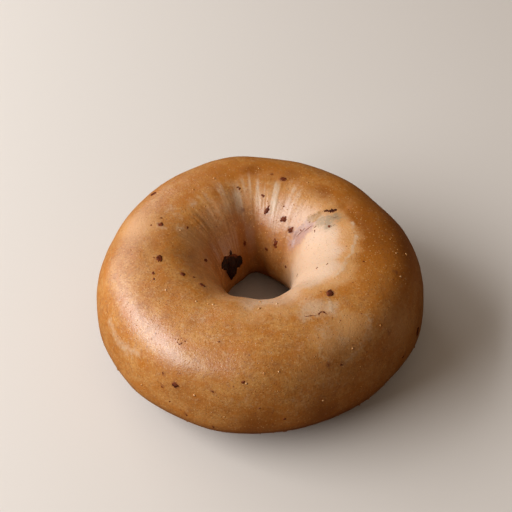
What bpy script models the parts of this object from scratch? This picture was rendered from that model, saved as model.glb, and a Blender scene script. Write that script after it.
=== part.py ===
"""A glossy baked bagel with bits of dried fruit in its crust.

One closed body in metres: a ring of dough that lies on its flat underside, with a deep
crease and soft folds in its hole, a torn scar on one shoulder and fruit bits in the crust.
"""
import math
import random

import bmesh
import bpy
from mathutils import Matrix, Vector

MM = 0.001

# Driving dimensions of the ring, before its waves
OUTER_RADIUS = 57.5 * MM
HOLE_RADIUS = 12.8 * MM
CREST_RADIUS = 36.6 * MM
HEIGHT = 39.8 * MM

# Heights of the widest outer line and the narrowest line of the hole, as shares of the height
OUTER_WAIST = 0.39
HOLE_WAIST = 0.27

# How full the section is in the middle of each quarter, at these angles round it:
# 2 is an ellipse, less is leaner, more is boxier
FULLNESS = (
    (math.radians(45), 2.6),
    (math.radians(135), 2.15),
    (math.radians(225), 2.2),
    (math.radians(315), 1.6),
)

# The rounded form would reach this far below the floor, where the underside is flat instead
FOOT_OUTER_SINK = 4.0 * MM
FOOT_INNER_SINK = 2.0 * MM

# Slow waves round the ring: (waves in a turn, cosine part, sine part)
OUTLINE_WAVES = ((2, -0.95 * MM, -0.4 * MM), (3, 0.55 * MM, -0.9 * MM), (4, 0.55 * MM, 0.0))
HOLE_WAVES = ((1, 0.0, 2.1 * MM), (2, -1.2 * MM, 0.0), (3, -0.4 * MM, 0.1 * MM))
HEIGHT_WAVES = ((1, 0.5 * MM, -1.8 * MM), (2, 0.2 * MM, -0.3 * MM))
CREST_FOLLOWS_HOLE = 0.15

# The crease where the rope of dough was joined, down the back wall of the hole
CREASE_BEARING = math.radians(93)
CREASE_WIDTH = math.radians(14)
CREASE_DEPTH = 4.0 * MM

# Soft folds down the rear wall of the hole: (folds in a whole turn, depth)
FOLDS = ((13, 0.2 * MM), (22, 0.18 * MM), (31, 0.12 * MM))
FOLD_TUBE = math.radians(145)
FOLD_TUBE_SPREAD = math.radians(36)
FOLD_BEARING = math.radians(95)
FOLD_BEARING_SPREAD = math.radians(75)

# Broad dimples of the risen dough: (waves round the ring, waves round the section, depth)
DIMPLES = ((5, 1, 0.3 * MM), (8, 2, 0.22 * MM), (13, 3, 0.14 * MM))

# A torn scar across the right rear shoulder, from (bearing, tube angle) to (bearing, tube angle)
SCAR_START = (math.radians(45), math.radians(141))
SCAR_END = (math.radians(29), math.radians(90))
SCAR_WIDTH = 2.6 * MM
SCAR_DEPTH = 0.6 * MM

# Relief fades out over this height above the flat underside
RELIEF_FADE = 4.0 * MM

# Ring mesh
STEPS_AROUND = 96
STEPS_SECTION = 44
SEED = 11

# Fruit bits that stand out: (bearing, tube angle, length mm, width mm, turn), angles in degrees
BIG_BITS = (
    (130, 166, 10.5, 7.0, 85),
    (127, 153, 5.0, 4.4, 60),
    (313, 94, 3.4, 2.7, 20),
    (336, 7, 4.2, 2.2, 85),
    (81, 128, 3.4, 2.0, 80),
    (54, 136, 3.0, 2.3, 60),
    (65, 130, 3.0, 2.2, 50),
    (69, 153, 3.2, 1.9, 70),
    (74, 91, 2.8, 2.1, 10),
    (99, 97, 2.6, 1.9, 70),
    (101, 127, 2.6, 1.8, 30),
    (188, 94, 3.4, 2.1, 0),
    (159, 90, 2.6, 2.1, 40),
    (139, 58, 2.6, 2.0, 0),
    (220, 116, 2.8, 1.8, 10),
    (205, 107, 2.4, 1.8, 30),
    (237, 65, 3.0, 2.3, 70),
    (241, 23, 2.8, 2.2, 0),
    (293, 41, 2.4, 1.9, 20),
    (319, 33, 2.4, 1.9, 50),
    (301, 85, 3.2, 1.8, 5),
)
# More of them by chance on the sides and back, one in each share of the turn
SIDE_BITS = 9
SIDE_BEARINGS = (math.radians(350), math.radians(590))
SIDE_TUBES = (math.radians(-10), math.radians(50))
SIDE_LENGTHS = (2.2 * MM, 3.4 * MM)
BIT_FLATNESS = 0.75
BIT_SHARE_SUNK = 0.35
BIT_ROUGHNESS = 0.16

CRUST_COLOUR = "#B97F45"
CRUST_ROUGHNESS = 0.42


def linear_colour(hex_code):
    """The linear RGBA of an sRGB hex colour."""
    channels = [int(hex_code[i:i + 2], 16) / 255 for i in (1, 3, 5)]
    linear = [c / 12.92 if c <= 0.04045 else ((c + 0.055) / 1.055) ** 2.4 for c in channels]
    return (*linear, 1.0)


def clear_scene():
    """Remove whatever objects the open file has."""
    for thing in list(bpy.data.objects):
        bpy.data.objects.remove(thing, do_unlink=True)


def waves(bearing, terms):
    """Sum of the slow waves at a bearing."""
    return sum(c * math.cos(k * bearing) + s * math.sin(k * bearing) for k, c, s in terms)


def turn_between(a, b):
    """The signed angle from b to a, the short way round."""
    return (a - b + math.pi) % math.tau - math.pi


def bell(angle, middle, width):
    """A smooth hump of height 1 at the middle angle."""
    return math.exp(-(turn_between(angle, middle) / width) ** 2)


def fullness_at(tube):
    """The fullness of the section at an angle, blended between its quarters."""
    return sum(max(math.cos(tube - middle), 0) ** 2 * value for middle, value in FULLNESS)


def rounded(value, fullness):
    """One coordinate of a superellipse, from the cosine or sine of its angle."""
    return math.copysign(abs(value) ** (2 / fullness), value)


def scar_depth(bearing, tube):
    """How deep the torn scar is at a place on the crust."""
    mid_radius = 0.5 * (HOLE_RADIUS + CREST_RADIUS)
    tube_radius = 0.5 * HEIGHT
    start = Vector((SCAR_START[0] * mid_radius, SCAR_START[1] * tube_radius))
    end = Vector((SCAR_END[0] * mid_radius, SCAR_END[1] * tube_radius))
    place = Vector((turn_between(bearing, 0) * mid_radius, tube * tube_radius))
    along = (place - start).dot(end - start) / (end - start).length_squared
    nearest = start.lerp(end, min(max(along, 0), 1))
    return SCAR_DEPTH * math.exp(-((place - nearest).length / SCAR_WIDTH) ** 2)


def relief(bearing, tube):
    """How far folds, dimples and the scar lift the crust at a place."""
    strength = math.exp(-((tube - FOLD_TUBE) / FOLD_TUBE_SPREAD) ** 2)
    strength *= bell(bearing, FOLD_BEARING, FOLD_BEARING_SPREAD)
    lift = sum(depth * strength * math.sin(count * bearing + count) for count, depth in FOLDS)
    for count, tube_count, depth in DIMPLES:
        lift += depth * math.sin(count * bearing + 2 * count) * math.cos(tube_count * tube + count)
    return lift - scar_depth(bearing, tube)


def crust_point(bearing, tube):
    """The point of the crust at a bearing round the ring and an angle round its section."""
    outward = math.cos(tube) >= 0
    upward = math.sin(tube) >= 0
    outer = OUTER_RADIUS + waves(bearing, OUTLINE_WAVES)
    hole = HOLE_RADIUS + waves(bearing, HOLE_WAVES)
    hole += CREASE_DEPTH * bell(bearing, CREASE_BEARING, CREASE_WIDTH)
    height = HEIGHT + waves(bearing, HEIGHT_WAVES)
    crest = CREST_RADIUS * outer / OUTER_RADIUS + CREST_FOLLOWS_HOLE * (hole - HOLE_RADIUS)
    reach = outer - crest if outward else crest - hole
    waist = height * (OUTER_WAIST if outward else HOLE_WAIST)
    sink = FOOT_OUTER_SINK if outward else FOOT_INNER_SINK
    rise = height - waist if upward else waist + sink
    fullness = fullness_at(tube)
    radius = crest + reach * rounded(math.cos(tube), fullness)
    z = waist + rise * rounded(math.sin(tube), fullness)
    lift = relief(bearing, tube) * min(max(z / RELIEF_FADE, 0), 1)
    radius += lift * math.cos(tube)
    z = max(z + lift * math.sin(tube), 0)
    return Vector((radius * math.cos(bearing), radius * math.sin(bearing), z))


def crust_frame(bearing, tube):
    """A matrix at a place on the crust: X along the ring, Y up the section, Z out of it."""
    step = math.radians(1.5)
    along = crust_point(bearing + step, tube) - crust_point(bearing - step, tube)
    up = crust_point(bearing, tube + step) - crust_point(bearing, tube - step)
    out = along.cross(up).normalized()
    along.normalize()
    side = out.cross(along)
    rotation = Matrix((along, side, out)).transposed().to_4x4()
    return Matrix.Translation(crust_point(bearing, tube)) @ rotation


def link_mesh(name, bm, collection):
    """Turn a bmesh into an object of a collection."""
    mesh = bpy.data.meshes.new(name)
    bm.to_mesh(mesh)
    bm.free()
    thing = bpy.data.objects.new(name, mesh)
    collection.objects.link(thing)
    return thing


def make_ring():
    """Spin a round section into a ring, then move each vertex to its place on the crust."""
    bm = bmesh.new()
    spin_radius = 0.5 * (OUTER_RADIUS + HOLE_RADIUS)
    section_radius = 0.5 * (OUTER_RADIUS - HOLE_RADIUS)
    stand = Matrix.Translation((spin_radius, 0, 0)) @ Matrix.Rotation(math.pi / 2, 4, "X")
    section = bmesh.ops.create_circle(
        bm, cap_ends=False, segments=STEPS_SECTION, radius=section_radius, matrix=stand)
    edges = {edge for vertex in section["verts"] for edge in vertex.link_edges}
    bmesh.ops.spin(
        bm, geom=section["verts"] + list(edges), cent=(0, 0, 0), axis=(0, 0, 1), dvec=(0, 0, 0),
        angle=math.tau, steps=STEPS_AROUND, use_merge=True)
    for vertex in bm.verts:
        bearing = math.atan2(vertex.co.y, vertex.co.x)
        tube = math.atan2(vertex.co.z, vertex.co.xy.length - spin_radius)
        if tube < -math.pi / 2:
            tube += math.tau
        vertex.co = crust_point(bearing, tube)
    bmesh.ops.recalc_face_normals(bm, faces=bm.faces)
    return link_mesh("bagel", bm, bpy.context.scene.collection)


def make_bit(name, bearing, tube, length, width, turn, chance, collection):
    """One knobbly bit of fruit, sunk in the crust at a place."""
    bm = bmesh.new()
    bmesh.ops.create_icosphere(bm, subdivisions=2, radius=1)
    for vertex in bm.verts:
        vertex.co *= 1 + chance.uniform(-BIT_ROUGHNESS, BIT_ROUGHNESS)
    half_height = 0.5 * BIT_FLATNESS * width
    size = Matrix.Diagonal((0.5 * length, 0.5 * width, half_height, 1))
    sink = Matrix.Translation((0, 0, -BIT_SHARE_SUNK * half_height))
    place = crust_frame(bearing, tube) @ Matrix.Rotation(turn, 4, "Z") @ sink @ size
    bmesh.ops.transform(bm, matrix=place, verts=bm.verts)
    bmesh.ops.recalc_face_normals(bm, faces=bm.faces)
    return link_mesh(name, bm, collection)


def make_bits(collection):
    """All the fruit bits: the ones with a known place, then the ones by chance."""
    chance = random.Random(SEED)
    for number, (bearing, tube, length, width, turn) in enumerate(BIG_BITS):
        make_bit(f"bit_{number}", math.radians(bearing), math.radians(tube), length * MM,
                 width * MM, math.radians(turn), chance, collection)
    share = (SIDE_BEARINGS[1] - SIDE_BEARINGS[0]) / SIDE_BITS
    for number in range(SIDE_BITS):
        bearing = SIDE_BEARINGS[0] + share * (number + chance.uniform(0.2, 0.8))
        tube = chance.uniform(*SIDE_TUBES)
        length = chance.uniform(*SIDE_LENGTHS)
        width = length * chance.uniform(0.6, 0.85)
        turn = chance.uniform(0, math.pi)
        make_bit(f"side_bit_{number}", bearing, tube, length, width, turn, chance, collection)


def fuse(ring, collection):
    """Join the fruit bits to the ring as one body, and remove the loose ones."""
    union = ring.modifiers.new("Fruit bits", "BOOLEAN")
    union.operation = "UNION"
    union.operand_type = "COLLECTION"
    union.collection = collection
    union.solver = "EXACT"
    bpy.context.view_layer.objects.active = ring
    bpy.ops.object.modifier_apply(modifier=union.name)
    for bit in list(collection.objects):
        bpy.data.objects.remove(bit, do_unlink=True)
    bpy.data.collections.remove(collection)


def centre_on_floor(ring):
    """Put the middle of the ring's box over the origin, with the underside on the floor."""
    corners = [vertex.co for vertex in ring.data.vertices]
    middle_x = 0.5 * (min(c.x for c in corners) + max(c.x for c in corners))
    middle_y = 0.5 * (min(c.y for c in corners) + max(c.y for c in corners))
    floor = min(c.z for c in corners)
    ring.data.transform(Matrix.Translation((-middle_x, -middle_y, -floor)))


def give_crust(ring):
    """The baked crust's material, and smooth shading except at the edge of each bit."""
    crust = bpy.data.materials.new("Baked bagel crust")
    crust.use_nodes = True
    shader = crust.node_tree.nodes["Principled BSDF"]
    shader.inputs["Base Color"].default_value = linear_colour(CRUST_COLOUR)
    shader.inputs["Roughness"].default_value = CRUST_ROUGHNESS
    shader.inputs["Metallic"].default_value = 0.0
    ring.data.materials.clear()
    ring.data.materials.append(crust)
    ring.data.shade_smooth()
    ring.data.set_sharp_from_angle(angle=math.radians(40))


def main():
    clear_scene()
    ring = make_ring()
    bits = bpy.data.collections.new("fruit_bits")
    bpy.context.scene.collection.children.link(bits)
    make_bits(bits)
    fuse(ring, bits)
    centre_on_floor(ring)
    give_crust(ring)


main()
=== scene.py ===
"""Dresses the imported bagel: a fine crust with its wrinkles, scar and browning, the bits of
dried fruit in it, blisters, crumbs at its foot, and a plain stage with a soft light."""
import math
import random

import bmesh
import bpy
import numpy as np
from bpy.props import FloatProperty, FloatVectorProperty, IntProperty, PointerProperty
from mathutils import Matrix, Vector, noise


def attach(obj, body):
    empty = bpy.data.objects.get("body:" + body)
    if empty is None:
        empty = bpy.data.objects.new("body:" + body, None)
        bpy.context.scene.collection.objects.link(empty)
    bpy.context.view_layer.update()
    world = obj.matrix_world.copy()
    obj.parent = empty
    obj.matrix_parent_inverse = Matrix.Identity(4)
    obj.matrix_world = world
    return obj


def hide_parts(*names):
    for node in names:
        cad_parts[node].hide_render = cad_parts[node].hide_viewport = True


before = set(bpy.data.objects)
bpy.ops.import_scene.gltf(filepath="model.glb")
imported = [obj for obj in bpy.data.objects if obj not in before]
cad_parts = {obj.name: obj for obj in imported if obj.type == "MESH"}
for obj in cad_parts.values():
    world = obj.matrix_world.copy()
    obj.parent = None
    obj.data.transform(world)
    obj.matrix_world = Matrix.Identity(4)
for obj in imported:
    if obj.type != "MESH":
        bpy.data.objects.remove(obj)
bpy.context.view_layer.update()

bl_info = {
    "name": "Fruit Bagel",
    "version": (1, 0, 0),
    "blender": (4, 5, 0),
    "location": "View3D > Sidebar > Bagel",
    "description": "Builds the crust, fruit bits and stage of a glossy bagel",
    "category": "Object",
}

MM = 0.001
BODY = "root"
NODE = "bagel"

# The camera's place, fitted to the outline and the hole of the bagel in the photo
SENSOR_MM = 36.0
CAMERA_ELEVATION = 45.3
CAMERA_ROLL = -1.73
CAMERA_DISTANCE = 430.5 * MM
CAMERA_AIM = (-1.1 * MM, 15.6 * MM, 18 * MM)

# The soft lamps' distance in metres and their colour, and the bounce card's drop below the floor
LIGHT_DISTANCE = 0.9
LIGHT_COLOUR = (1.0, 0.98, 0.96)
CARD_DROP = 0.2 * MM

# Seeds of the specks' forms and of the chance places of the small pieces
SPECK_SEED = 5
TEAR_SEED = 14
BLISTER_SEED = 8
CRUMB_SEED = 3

# The waved ring's middle, which stands over the frame's origin
RING_MIDDLE = (0.6 * MM, 0.9 * MM)

# Heights of the widest outer line and the narrowest line of the hole, as shares of the height
OUTER_WAIST = 0.39
HOLE_WAIST = 0.27

# How full the section is in the middle of each quarter, at these angles round it
FULLNESS = ((45, 2.6), (135, 2.15), (225, 2.2), (315, 1.6))

# The rounded form would reach this far below the floor, where the underside is flat instead
FOOT_OUTER_SINK = 4.0 * MM
FOOT_INNER_SINK = 2.0 * MM

# Slow waves round the ring: (waves in a turn, cosine part, sine part)
OUTLINE_WAVES = ((2, -0.95 * MM, -0.4 * MM), (3, 0.55 * MM, -0.9 * MM), (4, 0.55 * MM, 0.0))
HOLE_WAVES = ((1, 0.0, 2.1 * MM), (2, -1.2 * MM, 0.0), (3, -0.4 * MM, 0.1 * MM))
HEIGHT_WAVES = ((1, 0.5 * MM, -1.8 * MM), (2, 0.2 * MM, -0.3 * MM))
CREST_FOLLOWS_HOLE = 0.15

# The crease where the rope of dough was joined, and the soft folds beside it, which are a
# little shallower than in the solid
CREASE_BEARING = 93
CREASE_WIDTH = 14
FOLDS = ((13, 0.14 * MM), (22, 0.11 * MM), (31, 0.07 * MM))
FOLD_TUBE = 145
FOLD_TUBE_SPREAD = 36
FOLD_BEARING = 95
FOLD_BEARING_SPREAD = 75

# Broad dimples of the risen dough: (waves round the ring, waves round the section, depth)
DIMPLES = ((5, 1, 0.3 * MM), (8, 2, 0.22 * MM), (13, 3, 0.14 * MM))

# A torn scar across the right rear shoulder, from (bearing, tube angle) to (bearing, tube angle)
SCAR_START = (45, 141)
SCAR_END = (29, 90)
SCAR_WIDTH = 2.6 * MM
SCAR_DEPTH = 0.6 * MM

# The scar's torn floor: its creases, how far it lies lower, and the ridge on its left
TORN_CREASES = 0.35 * MM
TORN_SINK = 0.1 * MM
TORN_RIDGE = 0.35 * MM

# How far the skin lifts on a vein, round a bit of fruit, and over a bit that lies under it
VEIN_LIFT = 0.12 * MM
COLLAR_LIFT = 0.1 * MM
COVERED_LIFT = 0.08 * MM

# Heights over the floor at which the broad and the fine relief are whole
RELIEF_FADE = 4.0 * MM
FINE_FADE = 1.0 * MM

# The marks' edges are made wavy by shifts of this reach, in waves of this size
WARP_SIZE = 3.2 * MM
WARP_REACH = 0.9 * MM
WARP_SEEDS = (51.5, 64.5, 77.5)

# A rough lip where the dough settled on the oven floor
LIP_REACH = 0.7 * MM
LIP_HEIGHT = 1.0 * MM

# Where the crust stays pale towards the hole: (bearing, tube angle of the edge, paleness)
PALE_EDGE = (
    (0, 104, 1.0), (22, 102, 0.95), (45, 101, 0.5), (62, 99, 0.3), (82, 97, 0.35),
    (104, 98, 0.35), (125, 101, 0.3), (155, 122, 0.15), (185, 112, 0.2), (220, 108, 0.15),
    (250, 106, 0.3), (270, 103, 0.65), (290, 101, 0.55), (305, 111, 0.65), (318, 106, 0.85),
    (330, 104, 1.0), (345, 104, 1.0),
)

# Whitish pull streaks down the rear wall: (bearing, tube angles of the ends, strength)
STREAKS = (
    (103, 96, 130, 0.9), (101.5, 108, 136, 0.6), (96, 96, 112, 0.35), (90, 106, 128, 0.35),
    (85, 98, 124, 0.5), (76, 97, 132, 0.85), (71, 112, 132, 0.3), (58, 98, 112, 0.25),
    (112, 92, 108, 0.3), (133, 94, 110, 0.4),
)

# Pale veins where the skin split and healed: (width mm, strength, places), each through places
# of (bearing, tube angle)
VEINS = (
    (0.65, 1.0, ((17, 92), (13, 93), (8, 93.5), (3, 94), (354, 97), (349, 98.5), (344, 100),
                 (338, 99.5), (333, 99), (326, 102))),
    (0.5, 0.9, ((308, 91), (307, 88), (306, 84.5))),
    (1.5, 0.42, ((316, 64), (315.5, 60), (313, 51.5), (310, 46), (306.8, 42.5), (303.5, 38.5),
                (299, 35))),
    (2.1, 0.55, ((205, 31), (208.5, 27.5), (212.5, 23.5), (217.5, 24.5), (223.5, 31))),
    (1.1, 0.35, ((293, 61), (292, 55), (292.5, 48), (295, 43))),
)

# Scuffed, dried skin, pale and dull: (bearing, tube angle, radius mm, strength)
SCUFFS = (
    (299, 92, 4.4, 1.0), (306, 86, 3.4, 0.9), (293, 89, 2.6, 0.8), (297, 70, 3.5, 0.45),
    (302, 56, 3.0, 0.45),
    (240, 88, 4.0, 0.4), (252, 75, 3.0, 0.35), (261, 89, 3.5, 0.3), (286, 67, 4.0, 0.3),
    (283, 18, 6.0, 0.3), (293, 24, 6.0, 0.3), (145, 88, 2.6, 0.55), (148, 96, 2.6, 0.4),
    (133, 97, 2.6, 0.5), (157, 106, 3.0, 0.5), (161, 91, 2.0, 0.6), (265, 23, 4.0, 0.25),
    (217, 22, 4.0, 0.4), (322, 98, 3.0, 0.3), (20, 60, 6.0, 0.2), (60, 40, 7.0, 0.25),
    (120, 30, 7.0, 0.25), (345, 30, 6.0, 0.2),
)

# Lighter patches of the glossy crust: (bearing, tube angle, radius mm, strength). The row at (162,
# 70) is a painted sheen on the left shoulder, and (161, 121) is painted light on the hole's inner
# left slope
LIGHTER_AND_LIT = (
    (306, 65, 8.0, 0.85), (297, 63, 7.0, 0.75), (288, 42, 8.0, 0.4), (161, 121, 6.0, 0.8),
    (318, 48, 6.0, 0.3), (162, 70, 10.0, 0.75), (33, 82, 5.0, 0.35), (325, 30, 9.0, 0.6),
    (309, 18, 7.0, 0.3), (110, 116, 4.0, 0.6), (155, 100, 3.0, 0.4), (137, 102, 3.0, 0.4),
    (268, 98, 4.0, 0.4),
)

# Deeper browned patches: (bearing, tube angle, radius mm, strength). The rows low at the front,
# (244, 18), (268, 0), (290, 0) and (310, 0), are painted shade at the foot, and (148, 146) is
# painted shade low on the hole's inner left wall
BROWNED_AND_SHADED = (
    (176, 90, 4.5, 0.45), (168, 97, 4.5, 0.4), (115, 97, 5.0, 0.6), (238, 81, 2.5, 0.5),
    (259, 82, 2.0, 0.4), (148, 146, 8.0, 0.7), (280, 37, 5.0, 0.15), (316, 84, 5.0, 0.25),
    (200, 352, 6.0, 0.6), (48, 90, 5.0, 0.8), (71, 85, 5.0, 0.7), (92, 86, 5.0, 0.8),
    (4, 102, 2.4, 0.4), (150, 20, 8.0, 0.4), (75, 20, 9.0, 0.4), (310, 0, 8.0, 0.35),
    (244, 18, 8.0, 0.45), (67, 117.5, 3.0, 0.5), (268, 0, 8.0, 0.9), (290, 0, 8.0, 0.75),
)

# Fruit bits that stand out: (bearing, tube angle, length mm, width mm, turn), angles in degrees
BIG_BITS = (
    (130, 166, 10.5, 7.0, 85), (127, 153, 5.0, 4.4, 60), (313, 94, 3.4, 2.7, 20),
    (336, 7, 4.2, 2.2, 85), (81, 128, 3.4, 2.0, 80), (54, 136, 3.0, 2.3, 60),
    (65, 130, 3.0, 2.2, 50), (69, 153, 3.2, 1.9, 70), (74, 91, 2.8, 2.1, 10),
    (99, 97, 2.6, 1.9, 70), (101, 127, 2.6, 1.8, 30), (188, 94, 3.4, 2.1, 0),
    (159, 90, 2.6, 2.1, 40), (139, 58, 2.6, 2.0, 0), (220, 116, 2.8, 1.8, 10),
    (205, 107, 2.4, 1.8, 30), (237, 65, 3.0, 2.3, 70), (241, 23, 2.8, 2.2, 0),
    (293, 41, 2.4, 1.9, 20), (319, 33, 2.4, 1.9, 50), (301, 85, 3.2, 1.8, 5),
)

# Bits by chance round the sides. The solid's bits take this many draws each from the same seed,
# so the same draws are taken here, and these bits lie where those do.
SEED = 11
LUMP_DRAWS = 42
SIDE_BITS = 9
SIDE_BEARINGS = (350, 590)
SIDE_TUBES = (-10, 50)
SIDE_LENGTHS = (2.2, 3.4)

# Bits of the solid that stay under the skin, as low bumps without colour, by their number
BITS_UNDER_SKIN = (1, 9, 10, 16, 18, 19, 20, 22, 25, 28, 29)

# Bits longer than this, in millimetres, show their dark flesh
LARGE_BIT = 4.5

# Ragged wings of the large bit in the hole, as rows like those of the big bits
WINGS = ((139, 160, 6.0, 4.6, 25), (116, 166, 5.4, 5.0, 80), (125.5, 156, 3.6, 2.2, 85))

# Smaller specks of fruit skin: (bearing, tube angle, length mm)
SPECKS = (
    (154, 88, 1.5), (199, 89, 1.3), (203, 88, 1.1), (209, 115, 1.5), (172, 137, 1.8),
    (152, 110, 1.2), (100, 105, 1.0), (103, 157, 2.2), (81, 89, 1.5), (85, 115, 1.7),
    (68, 156, 1.4), (80, 162, 1.6), (49, 168, 1.3), (359, 154, 1.4), (68, 119, 0.9),
    (336, 123, 1.1), (338, 114, 1.2), (343, 90, 0.9), (298, 36, 1.2), (325, 4, 1.4),
    (277, 5, 1.1), (269, 16, 1.1), (253, 73, 0.9), (236, 28, 1.2), (236, 16, 1.5),
    (239, 6, 1.2), (245, 0, 1.2), (254, -7, 1.4), (254, 27, 1.1), (264, 39, 1.3),
    (187, 91, 1.0), (205, 106.5, 1.3), (209.5, 115, 1.4), (101, 103, 0.9), (238.5, 60.5, 0.9),
    (237.5, 61.5, 0.8), (237, 64, 0.9), (55, 134, 0.9), (70, 150, 1.1),
    (28, 122, 1.2), (22, 109, 1.5), (44, 131, 1.0), (40, 120, 0.9), (236, 63, 0.9),
    (238, 66, 0.8), (239, 62, 0.9), (236, 67, 0.7), (240, 65, 0.7), (161, 84, 1.0),
)

# Dark tears in the skin: (width mm, places), each through places of (bearing, tube angle)
TEARS = (
    (0.95, ((299, 85), (299.6, 86.6), (300.8, 87), (302, 86.2), (302.7, 83.4))),
    (0.45, ((292.5, 88.8), (296, 87.6), (298.4, 86))),
    (1.5, ((37.6, 104.6), (35.8, 101.2), (34.6, 99.4))),
    (1.7, ((34, 100.4), (33, 97.6), (32.2, 93.8))),
    (0.4, ((39.6, 108.5), (37.6, 104.6))),
    (0.4, ((44.5, 117), (42.5, 111), (40, 107))),
    (0.45, ((31, 121), (30, 117.5))),
    (0.45, ((22, 111), (20.6, 106.4), (21.4, 103))),
    (0.22, ((53, 144), (48.5, 136.5), (45.8, 130))),
    (0.3, ((45.5, 129), (44.4, 125))),
    (0.24, ((45.5, 138), (42.5, 132), (41, 127))),
    (0.24, ((39, 130), (36.5, 124), (35, 121))),
    (0.2, ((27, 101), (26, 97.5))),
)

# A tear is a row of overlapping dark shreds of this length, this far apart
TEAR_SHRED = 0.9 * MM
TEAR_STEP = 0.4 * MM

# Marks of the torn scar and of juice near the fruit: (bearing, tube angle, radius mm, strength)
STAINED = (
    (47, 146, 3.4, 0.9), (43, 138, 4.0, 1.0), (40, 131, 4.0, 1.0), (37.5, 124, 3.6, 1.0),
    (35.5, 119, 2.8, 0.8),
)
HONEYED = ((40, 115.5, 1.9, 1.2), (37.5, 110, 1.5, 0.9))
ASHEN = (
    (31, 112, 2.8, 0.9), (27.5, 107, 3.6, 1.0), (27, 99, 2.9, 1.0), (23, 110, 2.4, 0.8),
)
JUICED = (
    (101, 128, 1.1, 0.6), (103, 156.5, 1.3, 0.8), (80, 163, 0.9, 0.7), (50, 169, 0.8, 0.6),
    (320, 35.5, 1.2, 0.6), (293.3, 41.5, 1.1, 0.9), (81, 89, 1.0, 0.7), (236, 17, 1.3, 0.6),
    (236.5, 28, 1.1, 0.6),
    (4, 155, 0.8, 0.5), (326, 4, 1.2, 0.6), (342.5, 65, 1.2, 0.6), (254, 27, 1.1, 0.6),
    (245, 0, 1.3, 0.6), (344, 90.5, 0.8, 0.6), (74, 91, 2.0, 0.5), (69, 154, 2.0, 0.5),
    (298.5, 36.5, 0.9, 0.6), (264, 38, 1.3, 0.5), (241, 23, 1.9, 0.5), (198, 92, 1.4, 0.4),
)

# Bubbles of the glossy skin that catch the light: (bearing, tube angle). More lie by chance.
BLISTERS = (
    (270, 104), (271, 117), (282, 108), (271, 47), (276, 47), (304, 45), (126, 89), (258, 7),
    (354, 66), (356, 54), (342, 59), (213, 90), (231, 97), (238, 100), (241, 101), (265, 38),
    (158, 106), (227, 6), (248, 20), (290, 12), (318, 48), (60, 88), (88, 84), (112, 88),
)
CHANCE_BLISTERS = 110
BLISTER_WIDTH = 0.9
CHANCE_BLISTER_WIDTH = 0.45

# Crumbs round the foot, and the height over which a small piece takes the crust's colour
CRUMBS = 150
RIM_HEIGHT = 0.2 * MM


def linear_colour(hex_code):
    """The linear RGBA of an sRGB hex colour."""
    channels = [int(hex_code[i:i + 2], 16) / 255 for i in (1, 3, 5)]
    linear = [c / 12.92 if c <= 0.04045 else ((c + 0.055) / 1.055) ** 2.4 for c in channels]
    return (*linear, 1.0)


def length_property(name, description, default_mm):
    """A length in Blender's units, with its default given in millimetres."""
    return FloatProperty(name=name, description=description, default=default_mm * MM,
                         min=0.0, unit="LENGTH", precision=5)


def plain_property(name, description, default):
    """A number of at least 0."""
    return FloatProperty(name=name, description=description, default=default, min=0.0)


def colour_property(name, description, hex_code):
    """A colour, with its default given as an sRGB hex value."""
    return FloatVectorProperty(name=name, description=description, subtype="COLOR", size=4,
                               min=0.0, max=1.0, default=linear_colour(hex_code))


class BagelRing(bpy.types.PropertyGroup):
    """Sizes of the ring of dough and of the relief in its crust."""
    outer_radius: length_property("Outer radius", "Axis to the widest line of the crust", 57.5)
    hole_radius: length_property("Hole radius", "Axis to the narrowest line of the hole", 12.8)
    crest_radius: length_property("Crest radius", "Axis to the highest line of the ring", 36.6)
    height: length_property("Height", "Floor to the highest line of the ring", 39.8)
    crease_depth: length_property("Crease", "Depth of the joint crease in the hole", 4.0)
    wrinkle_depth: length_property("Wrinkles", "Depth of the fine wrinkles in the hole", 0.2)
    skin_depth: length_property("Skin", "Depth of the crust's small unevenness", 0.07)
    steps_around: IntProperty(name="Steps around", description="Mesh steps round the ring",
                              default=480, min=24, max=480)
    steps_section: IntProperty(name="Steps in section", description="Mesh steps round the section",
                               default=200, min=16, max=200)


class BagelColours(bpy.types.PropertyGroup):
    """Colours of the baked crust and of what is in it."""
    golden: colour_property("Golden", "Glossy crust where it browned evenly", "#BE7C36")
    tan: colour_property("Tan", "Lighter mottling of the crust", "#CB8F4A")
    grain: colour_property("Grain", "Fine light grain of the skin", "#DEAB6C")
    amber: colour_property("Amber", "Richly browned, clear crust of the far side", "#BD7119")
    # The deep colour also serves as painted shade low on the sides, at the front foot and low in
    # the hole
    deep_browning_and_shade: colour_property("Deep", "Crust where it browned most", "#97540C")
    # The soft colour also paints light at two of the lighter patches
    soft: colour_property("Soft", "Light crust just outside the pale part", "#DAA266")
    cream: colour_property("Cream", "Crust that stayed pale round the hole", "#D8B596")
    dried: colour_property("Dried", "Dull, pale skin where the crust dried and scuffed", "#D3B18D")
    thread: colour_property("Thread", "Whitish threads of stretched skin", "#DDC4A8")
    stain: colour_property("Stain", "Fruit juice baked into the scar", "#B48A7E")
    honey: colour_property("Honey", "Caramelised spot in the scar", "#A8741C")
    ash: colour_property("Ash", "Grey dried skin at the scar's end", "#A88C6A")
    foot: colour_property("Foot", "Pale rough lip at the underside's edge", "#C79A6B")
    juice: colour_property("Juice", "Crust tinted by the fruit under it", "#7E4020")
    fruit: colour_property("Fruit", "Skin of the dried fruit", "#78320E")
    flesh: colour_property("Flesh", "Dark flesh of the large fruit bit", "#381A0C")
    # The flesh fold colour lies in the low folds of the large bit, partly painted shade over its
    # own dark flesh
    flesh_fold: colour_property("Flesh fold", "Folds of the large fruit bit", "#180904")
    tear: colour_property("Tear", "Dark inside of a tear", "#451E0F")
    scorch: colour_property("Scorch", "Scorched edge of a tear", "#240F07")
    # The pale blister colour is partly a painted glint
    blister_and_glint: colour_property("Blister", "Tiny bubbles of the glossy skin", "#F0CDA0")
    crumb: colour_property("Crumb", "Crumbs and meal stuck to the foot", "#D2A873")


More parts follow.
